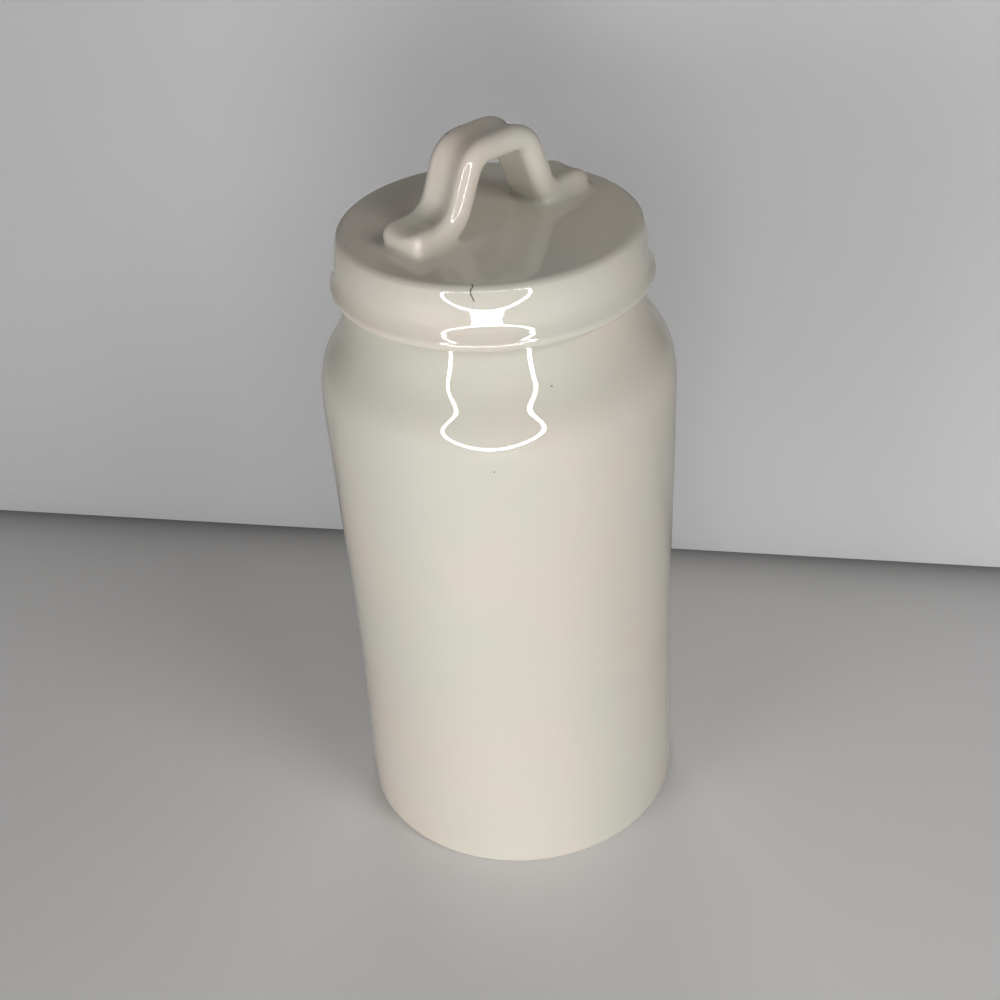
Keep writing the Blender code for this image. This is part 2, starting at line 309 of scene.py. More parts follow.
def rounded(outline, radius):
    """An open outline with every inner corner eased to an arc, as far as its sides allow."""
    line = [np.array(point) for point in outline]
    eased = [line[0]]
    for before, corner, after in zip(line, line[1:], line[2:]):
        back, ahead = before - corner, after - corner
        sides = min(np.linalg.norm(back), np.linalg.norm(ahead))
        reach = min(radius, sides * EASING_LIMIT)
        start = corner + back / np.linalg.norm(back) * reach
        end = corner + ahead / np.linalg.norm(ahead) * reach
        for i in range(EASING_STEPS + 1):
            t = i / EASING_STEPS
            eased.append(start * (1 - t) ** 2 + corner * 2 * t * (1 - t) + end * t ** 2)
    return [tuple(point) for point in eased + [line[-1]]]


def finely(points, spacing):
    """The same line with no two points further apart than the spacing. Other values follow."""
    fine = [points[0]]
    for start, end in zip(points, points[1:]):
        count = max(1, math.ceil(math.dist(start[:2], end[:2]) / spacing))
        for i in range(1, count + 1):
            fine.append(tuple(np.array(start) + (np.array(end) - np.array(start)) * i / count))
    return fine


print("a quarter circle in 8 steps:", len(arc((0.0, 0.0), 1.0, 0, 90, 8)), "points")

# %% [markdown]
# ## The jar's body
# The body narrows a little at its waist, swells to a full shoulder and turns in through a hollow
# curve to the rim. On glossy clay the eye reads lean rather than radius, since a highlight moves by
# twice any change of lean. So the shoulder is drawn as a table of degrees against height, and its
# radius is added up. Inside, the wall follows the outside at an even 5 mm, as slip casting leaves
# it. Underneath there is a foot ring, wiped clean of glaze so that the jar doesn't stick to the
# kiln shelf.

# %% The outside of the body
BODY_RADIUS = 0.0639
WALL = 0.005
MOUTH_RADIUS = 0.0484
RIM_HEIGHT = 0.2249
RIM_ROUND = 0.0013
SHOULDER_LEAN = ((0.1850, 0.0), (0.1900, 6.0), (0.1945, 10.0), (0.1970, 15.5), (0.1995, 25.0),
                 (0.2020, 32.0), (0.2045, 34.5), (0.2070, 33.0), (0.2100, 27.0), (0.2130, 22.0),
                 (0.2160, 19.0), (0.2190, 17.5), (0.2236, 17.0))
SHOULDER_STEPS = 60
LEAN_EASING = 11
WAIST = (0.0624, 0.078)
WALL_STEPS = (36, 26)
FOOT_RADIUS = 0.0633
BASE_ROUND = 0.0022


def shoulder_line():
    """The shoulder from the body's full radius up to the rim, added up from how far it leans."""
    marks, leans = zip(*SHOULDER_LEAN)
    heights = np.linspace(marks[0], marks[-1], SHOULDER_STEPS + 1)
    lean = np.pad(np.interp(heights, marks, leans), LEAN_EASING // 2, "edge")
    lean = np.convolve(lean, np.ones(LEAN_EASING) / LEAN_EASING, "valid")
    slope = np.tan(np.radians(lean))
    steps = np.diff(heights) * (slope[1:] + slope[:-1]) / 2
    radii = BODY_RADIUS - np.concatenate(([0.0], np.cumsum(steps)))
    return list(zip(radii, heights))


def body_outside():
    """The outside of the wall, from the neck down to the edge of the base."""
    shoulder = shoulder_line()
    line = shoulder[::-1] + eased_wall(shoulder[0], WAIST, WALL_STEPS[0])[1:]
    return line + eased_wall(WAIST, (FOOT_RADIUS, BASE_ROUND), WALL_STEPS[1])[1:]


print("outside of the body:", len(body_outside()), "points, neck radius",
      round(body_outside()[0][0] * 1000, 1), "mm")

# %% [markdown]
# The rest of the section closes that line: the floor inside, the inner wall, a rim rounded on both
# edges, and the foot ring with its shallow recess. The wall may wander between the foot and the
# neck. Both ends are held true, the neck for the lid's sake and the foot because it has to stand
# flat.

# %% The body's whole section
FOOT_RING = 0.007
FOOT_RECESS = 0.0025
RECESS_SLOPE = 0.002
FOOT_EASING = 0.0009
FLOOR_TOP = 0.008
FLOOR_CORNER = 0.010
FLOOR_SPACING = 0.006
FLOOR_CORNER_STEPS = 12
ROUND_STEPS = 8
NECK_BOTTOM = 0.2225
HELD_NECK = 0.010
FOOT_TOP = 0.001
HELD_FOOT = 0.020


def held(distance, reach):
    """0 at a held place, rising evenly to 1 at some reach from it."""
    return min(max(distance / reach, 0.0), 1.0)


def body_section():
    """The whole section as (radius, height, free), from the middle of the floor to the foot."""
    outer = body_outside()
    inner = reversed(inset(outer, WALL)[1:])
    inner = [(max(radius, MOUTH_RADIUS), height) for radius, height in inner
             if height > FLOOR_TOP + FLOOR_CORNER]
    corner = (inner[0][0] - FLOOR_CORNER, FLOOR_TOP + FLOOR_CORNER)
    ring_outer = FOOT_RADIUS - BASE_ROUND
    ring_inner = ring_outer - FOOT_RING
    floor = [(0.0, FLOOR_TOP)] + arc(corner, FLOOR_CORNER, -90, 0, FLOOR_CORNER_STEPS)
    floor = finely(floor, FLOOR_SPACING)
    level = RIM_HEIGHT - RIM_ROUND
    rim = arc((MOUTH_RADIUS + RIM_ROUND, level), RIM_ROUND, 180, 90, ROUND_STEPS)
    rim += arc((outer[0][0] - RIM_ROUND, level), RIM_ROUND, 90, 0, ROUND_STEPS)
    base = arc((ring_outer, BASE_ROUND), BASE_ROUND, 0, -90, ROUND_STEPS)
    foot = [base[-1], (ring_inner, 0.0), (ring_inner - RECESS_SLOPE, FOOT_RECESS),
            (0.0, FOOT_RECESS)]
    base = base[:-1] + finely(rounded(foot, FOOT_EASING), FLOOR_SPACING)
    section = [(radius, height, 0.0) for radius, height in floor + inner[1::2] + rim]
    for radius, height in outer[1:-1]:
        free = held(NECK_BOTTOM - height, HELD_NECK) * held(height - FOOT_TOP, HELD_FOOT)
        section.append((radius, height, free))
    return section + [(radius, height, 0.0) for radius, height in base]


print("body section:", len(body_section()), "points")

# %% [markdown]
# ## The lid and its seal
# The lid is a shallow drum with an even wall: a top that domes by little more than a millimetre, a
# soft edge, and a small bead round its lower edge that overhangs the neck. Its edge isn't a plain
# arc. It turns over quickly at the top and then falls away slowly, which shows in the long bow of
# its highlight, so it is added up from a table of leans like the shoulder.

# %% The top and the edge of the lid
LEDGE = 0.2252
LID_TOP = 0.2467
LID_CROWN = 0.0013
LID_FLAT_RADIUS = 0.0495
WALL_DRAFT = 4.9
EDGE_LEAN = ((0.0, 87.0), (0.0029, 40.0), (0.0034, 23.0), (0.0053, 15.0), (0.0073, 9.0),
             (0.0093, WALL_DRAFT))
EDGE_STEPS = 50
TOP_STEPS = 24


def crown(radius):
    """Height of the domed top at a distance from its middle."""
    return LID_TOP + LID_CROWN * (1 - (radius / LID_FLAT_RADIUS) ** 2)


def lid_edge():
    """The rounded edge, added up from how far it leans at each distance along it."""
    marks, leans = zip(*EDGE_LEAN)
    runs = np.linspace(0.0, marks[-1], EDGE_STEPS + 1)
    lean = np.radians(np.interp((runs[1:] + runs[:-1]) / 2, marks, leans))
    radii = LID_FLAT_RADIUS + np.cumsum(np.diff(runs) * np.sin(lean))
    heights = LID_TOP - np.cumsum(np.diff(runs) * np.cos(lean))
    return [(LID_FLAT_RADIUS, LID_TOP)] + list(zip(radii, heights))


print("lid edge:", len(lid_edge()), "points, ending at a radius of",
      round(lid_edge()[-1][0] * 1000, 1), "mm")

# %% [markdown]
# Below the edge the wall runs down into the bead. Underneath, the plug reaches into the mouth and
# carries a groove for the seal, and its bore opens into a hollow, so that the clay is as thick
# everywhere as in the body and fires without cracking. The wall may wander, and the parts that fit
# the jar may not.

# %% The lid's whole section
LID_WALL_RADIUS = 0.05395
BEAD_RADIUS = 0.0561
BEAD_ROUND = 0.0026
BEAD_COVE = 0.012
BEAD_STEPS = 12
OGEE_STEPS = 16
BEAD_TOP = LEDGE + 0.006
PLUG_RADIUS = 0.0468
PLUG_BORE = 0.0407
PLUG_BOTTOM = 0.2112
PLUG_EASING = 0.0007
GROOVE_RADIUS = 0.0452
GROOVE = (0.2147, 0.2227)
HOLLOW_RADIUS = 0.0487
CEILING = LID_TOP - WALL
OUTSIDE_SPACING = 0.002
INSIDE_SPACING = 0.005


def lid_section():
    """The lid's section, from the middle of its top, down outside, round the plug and up inside."""
    radii = [LID_FLAT_RADIUS * i / TOP_STEPS for i in range(TOP_STEPS)]
    top = [(radius, crown(radius)) for radius in radii]
    edge = lid_edge()
    level = LEDGE + BEAD_ROUND
    side = ogee(LID_WALL_RADIUS, BEAD_RADIUS, BEAD_COVE, BEAD_ROUND, level, OGEE_STEPS, WALL_DRAFT)
    bead = arc((BEAD_RADIUS - BEAD_ROUND, level), BEAD_ROUND, 0, -90, BEAD_STEPS)[1:]
    under = [bead[-1], (PLUG_RADIUS, LEDGE), (PLUG_RADIUS, GROOVE[1]), (GROOVE_RADIUS, GROOVE[1]),
             (GROOVE_RADIUS, GROOVE[0]), (PLUG_RADIUS, GROOVE[0]), (PLUG_RADIUS, PLUG_BOTTOM),
             (PLUG_BORE, PLUG_BOTTOM), (PLUG_BORE, LEDGE + WALL), (HOLLOW_RADIUS, LEDGE + WALL),
             (HOLLOW_RADIUS, CEILING), (0.0, CEILING + LID_CROWN)]
    outside = top + edge + finely([edge[-1]] + side, OUTSIDE_SPACING)[1:] + bead[:-1]
    inside = finely(rounded(under, PLUG_EASING), INSIDE_SPACING)
    section = [(radius, height, 1.0 if height > BEAD_TOP else 0.0) for radius, height in outside]
    return section + [(radius, height, 0.0) for radius, height in inside]


print("lid section:", len(lid_section()), "points")

# %% [markdown]
# The seal is a moulded silicone band that is stretched over the plug and sits in the groove. Its
# three thin fins lean upwards a little, so that they slide easily into the mouth and drag as the
# lid is pulled out. It is drawn relaxed, just clear of the mouth, because nothing here squeezes it.

# %% The seal's section
SEAL_INNER = 0.0455
SEAL_BOTTOM = 0.2150
SEAL_TOP = 0.2224
SEAL_EASING = 0.0003
FINS = 3
FIN_TIP = 0.0481
FIN_ROOT = (0.0007, -0.0007)
FIN_END = (0.00075, 0.00005)


def seal_section():
    """The seal's section: a band that fills the groove, with thin fins that reach the mouth."""
    pitch = (SEAL_TOP - SEAL_BOTTOM) / FINS
    start = (SEAL_INNER, (SEAL_BOTTOM + SEAL_TOP) / 2)
    outline = [start, (SEAL_INNER, SEAL_TOP), (PLUG_RADIUS, SEAL_TOP)]
    for fin in range(FINS):
        middle = SEAL_TOP - pitch * (fin + 0.5)
        outline += [(PLUG_RADIUS, middle + FIN_ROOT[0]), (FIN_TIP, middle + FIN_END[0]),
                    (FIN_TIP, middle + FIN_END[1]), (PLUG_RADIUS, middle + FIN_ROOT[1])]
    outline += [(PLUG_RADIUS, SEAL_BOTTOM), (SEAL_INNER, SEAL_BOTTOM), start]
    return [(radius, height, 0.0) for radius, height in rounded(outline, SEAL_EASING)]


print("seal section:", len(seal_section()), "points")

# %% [markdown]
# ## The strap handle
# The handle is a flat strap of clay, bent twice so that it leaves the lid on two splayed legs, and
# pressed down at both ends into a rounded tongue. Nothing about it is round enough for the wheel,
# so it is lofted: one rounded cross-section is carried along the bent path, square to it, and
# changes as it runs out into the tongue. The two halves were bent by hand and differ, so each has
# its own values: how far its leg leans and stands from the middle, how wide its lower bend is, how
# far its tongue reaches, how wide that is, how far it was set down to the side, and how long and
# how steep its blunt end is.

# %% The strap's path
HANDLE_TOP = 0.0309
STRAP_WIDTH = 0.0205
STRAP_THICKNESS = 0.0090
TOP_BEND = STRAP_THICKNESS / 2 + 0.0041
BEND_STEPS = 16
FOOT_HEIGHT = 0.0070
FOOT_THICKNESS = FOOT_HEIGHT + 0.0040
TIP_STEPS = 32
TIP_TURN = math.radians(89.9)
TIP_SQUARENESS = 3.4
ROW_SPACING = 0.0007

Half = namedtuple("Half", "lean leg_x bend reach foot_width aside tip_length tip_drop")
NEAR_HALF = Half(22.5, 0.0110, 0.0090, 0.0390, 0.0194, 0.0015, 0.0050, 0.0034)
FAR_HALF = Half(19.5, 0.0125, 0.0050, 0.0418, 0.0190, 0.0, 0.0085, 0.0052)


def half_path(half):
    """Rows (x, z, tilt, width, thickness, aside) of half the strap, from its top to a tip."""
    top = HANDLE_TOP - STRAP_THICKNESS / 2
    middle = FOOT_HEIGHT - FOOT_THICKNESS / 2
    turn = 90 - half.lean
    half_turn = math.tan(math.radians(turn / 2))
    knee = half.leg_x + (top - middle) * math.tan(math.radians(half.lean))
    upper = (half.leg_x - TOP_BEND * half_turn, top - TOP_BEND)
    bend = FOOT_THICKNESS / 2 + half.bend
    lower = (knee + bend * half_turn, middle + bend)
    rows = [(0.0, top, 0.0, STRAP_WIDTH, STRAP_THICKNESS, 0.0)]
    for i, (x, z) in enumerate(arc(upper, TOP_BEND, 90, half.lean, BEND_STEPS)):
        rows.append((x, z, turn * i / BEND_STEPS, STRAP_WIDTH, STRAP_THICKNESS, 0.0))
    for i, (x, z) in enumerate(arc(lower, bend, 180 + half.lean, 270, BEND_STEPS)):
        share = i / BEND_STEPS
        thickness = STRAP_THICKNESS + (FOOT_THICKNESS - STRAP_THICKNESS) * share
        width = STRAP_WIDTH + (half.foot_width - STRAP_WIDTH) * share
        rows.append((x, z, turn * (1 - share), width, thickness, half.aside * share))
    tip = half.reach - half.tip_length
    rows.append((tip, middle, 0.0, half.foot_width, FOOT_THICKNESS, half.aside))
    rows = finely(rows, ROW_SPACING)
    for i in range(1, TIP_STEPS + 1):
        share = math.sin(TIP_TURN * i / TIP_STEPS)
        drop = half.tip_drop * (1 - math.sqrt(1 - share ** 2)) / 2
        width = half.foot_width * (1 - share ** TIP_SQUARENESS) ** (1 / TIP_SQUARENESS)
        x = tip + half.tip_length * share
        rows.append((x, middle - drop, 0.0, width, FOOT_THICKNESS - 2 * drop, half.aside))
    return rows


def strap_rows():
    """Rows along the whole strap, from one tip over the top to the other."""
    near = [(-x, z, -tilt, *rest) for x, z, tilt, *rest in half_path(NEAR_HALF)[1:]]
    return near[::-1] + half_path(FAR_HALF)


print("strap rows:", len(strap_rows()))

# %% [markdown]
# The cross-section is a bar with round edges. Its upper side is dished, most of all on the legs,
# where the thumbs that bent them pressed, and its edges are a little sharper down in the tongues.

# %% The strap's cross-section
STRAP_ROUND = 0.0043
FOOT_ROUND = 0.0034
ROUND_RISE = 0.010
STRAP_DISH = 0.0014
DISH_WIDTH = 0.0160
FLAT_DISH = 0.4
CORNER_STEPS = 10
SIDE_STEPS = 12


def ring(row):
    """One rounded cross-section of the strap as an array of points."""
    x, z, tilt, width, thickness, aside = row
    tilt = math.radians(tilt)
    dish = STRAP_DISH * (FLAT_DISH + (1 - FLAT_DISH) * abs(math.sin(tilt)))
    dish *= (width / STRAP_WIDTH) ** 2
    easing = FOOT_ROUND + (STRAP_ROUND - FOOT_ROUND) * held(z, ROUND_RISE)
    easing = min(easing, width / 2, thickness / 2)
    outline = []
    for side, level, start in ((1, 1, 0), (-1, 1, 90), (-1, -1, 180), (1, -1, 270)):
        centre = (side * (width / 2 - easing), level * (thickness / 2 - easing))
        corner = arc(centre, easing, start, start + 90, CORNER_STEPS)
        outline += corner
        if side * level > 0:
            shares = [1 - 2 * i / SIDE_STEPS for i in range(1, SIDE_STEPS)]
            outline += [(centre[0] * share, corner[-1][1]) for share in shares]
    points = []
    for across, up in outline:
        if up > 0 and abs(across) < DISH_WIDTH / 2:
            up -= dish * math.cos(math.pi * across / DISH_WIDTH) ** 2
        points.append((x + up * math.sin(tilt), across + aside, z + up * math.cos(tilt)))
    return np.array(points)


print("strap cross-section:", len(ring(strap_rows()[0])), "points")

# %% [markdown]
# Wet clay can't hold a crease, so the rows are averaged a little with their neighbours, which
# softens each bend by about as much as a thumb does, and then pressed in here and there by a slow
# noise. The tongues are pressed onto the domed lid, so every point that would lie inside the lid is
# lifted to just under its surface. That leaves a closed underside and no hidden lump of clay in the
# lid.

# %% Lofting the strap
LID_MIDDLE = LID_TOP + LID_CROWN
BEDDING = 0.0003
THUMB_SOFTENING = 0.0015
HAND_DEPTH = 0.00035
HAND_SWELLS = 75.0


def averaged(rows, width):
    """Rows blended with their neighbours over a distance, with the two ends held."""
    reach = int(3 * width / ROW_SPACING)
    weights = np.exp(-0.5 * (np.arange(-reach, reach + 1) * ROW_SPACING / width) ** 2)
    weights /= weights.sum()
    padded = np.concatenate([np.repeat(rows[:1], reach, 0), rows, np.repeat(rows[-1:], reach, 0)])
    return sum(weight * padded[i:i + len(rows)] for i, weight in enumerate(weights))


def handled(rows):
    """The same rows, pressed in here and there towards their middles, as fingers leave a strap."""
    middles = rows.mean(axis=1, keepdims=True)
    inwards = (middles - rows) / np.linalg.norm(middles - rows, axis=2, keepdims=True)
    press = [[0.5 + 0.5 * noise.noise(Vector(point) * HAND_SWELLS) for point in row]
             for row in rows]
    return rows + inwards * HAND_DEPTH * np.array(press)[:, :, None]


def bridge(shape, loops):
    """Faces between each loop of corners and the next."""
    for first, second in zip(loops, loops[1:]):
        for i in range(len(first)):
            j = (i + 1) % len(first)
            shape.faces.new((first[i], first[j], second[j], second[i]))


def skinned(name, shape, glaze):
    """A finished skin as a glazed piece."""
    mesh = bpy.data.meshes.new(name)
    shape.to_mesh(mesh)
    shape.free()
    face_outwards(mesh)
    mesh.materials.append(glaze)
    return add_piece(name, mesh)


def loft_strap(glaze):
    """The strap as a closed skin over its rows, bedded on the lid."""
    rows = averaged(np.array([ring(row) for row in strap_rows()]), THUMB_SOFTENING)
    rows = handled(rows)
    rows[:, :, 2] += LID_MIDDLE
    surface = crown(np.hypot(rows[:, :, 0], rows[:, :, 1])) - BEDDING
    rows[:, :, 2] = np.maximum(rows[:, :, 2], surface)
    shape = bmesh.new()
    grid = [[shape.verts.new(point) for point in row] for row in rows]
    bridge(shape, grid)
    for end in (grid[0], grid[-1]):
        shape.faces.new(end)
    return skinned("strap_handle", shape, glaze)


strap_line = strap_rows()
strap_length = sum(math.dist(start[:2], end[:2]) for start, end in zip(strap_line, strap_line[1:]))
print("strap length along its middle:", round(strap_length * 1000), "mm")

# %% [markdown]
# Glaze runs into every inner corner and freezes there as a small hollow fillet. Round each foot it
# is found by looking inwards from all sides: one ray just above the lid finds the corner, one
# higher up finds the wall of the foot, and a hollow curve joins that wall to the lid. The pool is a
# closed ribbon whose hidden side lies inside the foot and the lid. Each pool has a middle along the
# strap and a mean size, and the far foot's is the wider one.

# %% Glaze pooled round the feet
POOLS = ((-0.0270, 0.0020), (0.0285, 0.0044))
POOL_STEPS = 150
POOL_SEGMENTS = 10
POOL_UNEVENNESS = 0.25
POOL_SWELLS = 1.8
POOL_CREASE = math.radians(40)
LOOK_FROM = 0.0185
JUST_ABOVE = 0.0004


def pool_sections(tree, middle, mean_size):
    """Closed sections of the fillet round one foot, seen from its middle."""
    for i in range(POOL_STEPS):
        angle = math.tau * i / POOL_STEPS
        outwards = Vector((math.cos(angle), math.sin(angle), 0.0))
        start = Vector((middle, 0.0, 0.0)) + outwards * LOOK_FROM
        swell = noise.noise((outwards + Vector((0.0, 0.0, middle))) * POOL_SWELLS)
        size = mean_size * (1 + POOL_UNEVENNESS * swell)
        hits = []
        for above in (JUST_ABOVE, size):
            start.z = crown(start.xy.length) + above
            hits.append(tree.ray_cast(start, -outwards, LOOK_FROM)[0])
        foot, wall = hits
        wall.z = crown(wall.xy.length) + size
        edge = foot + outwards * size
        foot.z = crown(foot.xy.length)
        edge.z = crown(edge.xy.length)
        curve = [wall * (1 - t) ** 2 + foot * 2 * t * (1 - t) + edge * t ** 2
                 for t in (j / POOL_SEGMENTS for j in range(POOL_SEGMENTS + 1))]
        below = Vector((0.0, 0.0, BEDDING))
        yield curve + [edge - below, foot - outwards * BEDDING - below, wall - outwards * BEDDING]


def pool_glaze(strap, glaze):
    """Both fillets as one closed piece."""
    corners = [corner.co for corner in strap.data.vertices]
    tree = BVHTree.FromPolygons(corners, [face.vertices for face in strap.data.polygons])
    shape = bmesh.new()
    for middle, size in POOLS:
        sections = pool_sections(tree, middle, size)
        loops = [[shape.verts.new(point) for point in section] for section in sections]
        bridge(shape, loops + loops[:1])
    pools = skinned("foot_glaze_pools", shape, glaze)
    pools.data.set_sharp_from_angle(angle=POOL_CREASE)
    return pools


print("mean sizes of the glaze pools, mm:", [size * 1000 for middle, size in POOLS])

# %% [markdown]
# ## What a finish is made of
# Every finish starts from the object's own coordinates, in metres, so a pattern keeps its size and
# stays on its piece as the lid lifts and turns. Four small patterns do all the work here: soft
# noise, small round dots scattered in a share of the cells of a Voronoi pattern, a short stroke
# between two points, and the shader that joins colour, roughness and relief.

# %% Patterns for the finishes
GLASS_INDEX = 1.52
DOT_EDGE = 0.6
STROKE_EDGE = 0.4
PICK_EDGE = 0.001


def new_finish(name):
    """A material with an empty bench, its object coordinates and its shader."""
    material = bpy.data.materials.new(name)
    material.use_nodes = True
    material.node_tree.nodes.clear()
    bench = Bench(material.node_tree)
    place = bench.add("ShaderNodeTexCoord", output=3)
    return material, bench, place


def noise_field(bench, place, scale, detail=2.0, seed=0.0):
    """Soft noise from 0 to 1 at a number of swells a metre."""
    return bench.add("ShaderNodeTexNoise", {"noise_dimensions": "4D"},
                     {"Vector": place, "W": seed, "Scale": scale, "Detail": detail})


def scattered_dots(bench, place, cells, share, radius, seed):
    """1 in small round dots in a share of the cells, and 0 elsewhere."""
    cell = bench.add("ShaderNodeTexVoronoi", {"voronoi_dimensions": "4D"},
                     {"Vector": place, "W": seed, "Scale": cells})
    pick = bench.add("ShaderNodeSeparateColor", None, {0: cell.output("Color")})
    chosen = pick.step(1 - share, 1 - share + PICK_EDGE)
    size = radius * cells
    return chosen * (1 - cell.step(size * DOT_EDGE, size))


def stroke(bench, place, start, end, radius):
    """1 along a short straight stroke between two points, and 0 away from it."""
    along = Vector(end) - Vector(start)
    offset = bench.add("ShaderNodeVectorMath", {"operation": "SUBTRACT"}, {0: place, 1: start})
    share = bench.add("ShaderNodeVectorMath", {"operation": "DOT_PRODUCT"}, {0: offset, 1: along},
                      output="Value")
    share = bench.add("ShaderNodeClamp", None, {0: share / along.length_squared})
    nearest = bench.add("ShaderNodeVectorMath", {"operation": "SCALE"}, {0: along, "Scale": share})
    distance = bench.add("ShaderNodeVectorMath", {"operation": "DISTANCE"}, {0: offset, 1: nearest},
                         output="Value")
    return 1 - distance.step(radius * STROKE_EDGE, radius)


def finish_surface(bench, material, colour, roughness, height):
    """Join colour, roughness and relief to one shader and the material's output."""
    relief = bench.add("ShaderNodeBump", None, {"Strength": 1.0, "Distance": 1.0, "Height": height})
    shader = bench.add("ShaderNodeBsdfPrincipled", None,
                       {"Base Color": colour, "Roughness": roughness, "Normal": relief,
                        "IOR": GLASS_INDEX})
    bench.add("ShaderNodeOutputMaterial", None, {"Surface": shader})
    return material


print("glassy finishes bend light by", GLASS_INDEX)

# %% [markdown]
# ## Glaze
# Real glaze is never one colour. It is a thin glass over an off-white body, thicker in some places
# than in others, so its tint drifts between a cool and a faintly pink cream over a few centimetres.
# It has pinholes where bubbles broke, a few iron specks, and a skin that ripples very slightly. The
# drift and the specks go to the base colour, the ripples to a Bump node, and the shine is one low
# roughness that wanders with them. Where the piece was wiped so that it wouldn't stick in the kiln,
# the bare clay is matt and a little grainy.
#
# A noise is given by its swells a metre and its detail. A scatter of dots is given by its cells a
# metre, the share of them that hold a dot, and the dots' radius.

# %% The glaze
CREAM = (0.72, 0.67, 0.585, 1.0)
COOL_CREAM = (0.685, 0.670, 0.585, 1.0)
PINK_CREAM = (0.750, 0.660, 0.575, 1.0)
SPECK = (0.10, 0.075, 0.05, 1.0)
BARE_CLAY = (0.66, 0.61, 0.52, 1.0)
DRIFT = (13.0, 2.0)
DRIFT_SPAN = (0.35, 0.65)
BLUSH = (24.0, 3.0)
BLUSH_SPAN = (0.44, 0.72)
BLUSH_SHARE = 0.95
SPECKS = (95.0, 0.05, 0.00022)
SPECK_SHARE = 0.75
PINHOLES = (60.0, 0.06, 0.00030)
PINHOLE_SHARE = 0.35
PINHOLE_DEPTH = 0.00012
MARK_SHARE = 0.85
RIPPLE = (70.0, 1.0)
RIPPLE_HEIGHT = 0.00004
SKIN = (330.0, 1.0)
SKIN_HEIGHT = 0.0000025
GRAIN = (2600.0, 2.0)
GRAIN_HEIGHT = 0.00006
SHINE = 0.02
SHINE_DRIFT = 0.02
BARE_ROUGHNESS = 0.75
WIPED_EDGE = (-0.0002, 0.0003)


def glaze_finish(name, seed, bare_below, flaws):
    """Cream glaze with its own few flaws, wiped back to bare clay below a height."""
    material, bench, place = new_finish(name)
    drift = noise_field(bench, place, *DRIFT, seed)
    blush = noise_field(bench, place, *BLUSH, seed + 5.0)
    colour = bench.blend(drift.step(*DRIFT_SPAN), COOL_CREAM, CREAM)
    colour = bench.blend(blush.step(*BLUSH_SPAN) * BLUSH_SHARE, colour, PINK_CREAM)
    specks = scattered_dots(bench, place, *SPECKS, seed + 1.0)
    pinholes = scattered_dots(bench, place, *PINHOLES, seed + 2.0)
    colour = bench.blend(specks * SPECK_SHARE + pinholes * PINHOLE_SHARE, colour, SPECK)
    marks = sum(stroke(bench, place, *flaw) for flaw in flaws)
    colour = bench.blend(marks.sum("MINIMUM", MARK_SHARE), colour, SPECK)
    height = bench.add("ShaderNodeSeparateXYZ", None, {0: place}).output("Z")
    bare = 1 - height.step(bare_below + WIPED_EDGE[0], bare_below + WIPED_EDGE[1])
    grain = noise_field(bench, place, *GRAIN, seed)
    colour = bench.blend(bare, colour, BARE_CLAY)
    ripple = noise_field(bench, place, *RIPPLE, seed + 3.0)
    skin = noise_field(bench, place, *SKIN, seed + 4.0)
    roughness = (SHINE + SHINE_DRIFT * drift) * (1 - bare) + BARE_ROUGHNESS * bare
    glassy = ripple * RIPPLE_HEIGHT + skin * SKIN_HEIGHT - pinholes * PINHOLE_DEPTH
    relief = glassy * (1 - bare) + grain * bare * GRAIN_HEIGHT
    return finish_surface(bench, material, colour, roughness, relief)


print("glaze between", COOL_CREAM[:3], CREAM[:3], "and", PINK_CREAM[:3])

# %% [markdown]
# A few flaws are single ones with a place of their own: a pair of pinholes on the body's shoulder,
# a dark hair that was fired into the lid's edge, and small chips on the strap. Each is one stroke
# or a chain of strokes, given by its ends on the surface and its radius. A chain of short strokes
# is needed for the hair, because one long stroke would cut through the clay where the edge bends.

# %% Glazes with their own flaws
BODY_BARE_BELOW = 0.0004
LID_BARE_BELOW = PLUG_BOTTOM + 0.0012
HAIR_RADIUS = 0.00031
HAIR = ((-0.0373, -0.0330, 0.2466), (-0.0380, -0.0339, 0.2463), (-0.0390, -0.0340, 0.2457),
        (-0.0393, -0.0343, 0.2451), (-0.0395, -0.0345, 0.2445), (-0.0394, -0.0350, 0.2438),
        (-0.0393, -0.0356, 0.2426))
BODY_FLAWS = (((-0.0218, -0.0503, 0.2103), (-0.0216, -0.0505, 0.2103), 0.00035),
              ((-0.0445, -0.0458, 0.1862), (-0.0445, -0.0458, 0.1860), 0.00030))
LID_FLAWS = (((-0.0459, 0.0203, 0.2463), (-0.0457, 0.0203, 0.2463), 0.00040),
             *((start, end, HAIR_RADIUS) for start, end in zip(HAIR, HAIR[1:])))
STRAP_FLAWS = (((-0.0100, 0.0072, 0.2775), (-0.0094, 0.0068, 0.2778), 0.00045),
               ((-0.0052, 0.0066, 0.2786), (-0.0042, 0.0067, 0.2787), 0.00036))

BODY_GLAZE = glaze_finish("cream_glaze_body", 1.0, BODY_BARE_BELOW, BODY_FLAWS)
LID_GLAZE = glaze_finish("cream_glaze_lid", 2.0, LID_BARE_BELOW, LID_FLAWS)
HANDLE_GLAZE = glaze_finish("cream_glaze_strap", 3.0, 0.0, STRAP_FLAWS)
print("glazes:", BODY_GLAZE.name, LID_GLAZE.name, HANDLE_GLAZE.name)

# %% [markdown]
# ## Silicone
# Silicone is milky rather than white, with a satin skin. It looks faintly cloudy, and it always
# picks up dust, which is drawn as a fine scatter of darker dots.

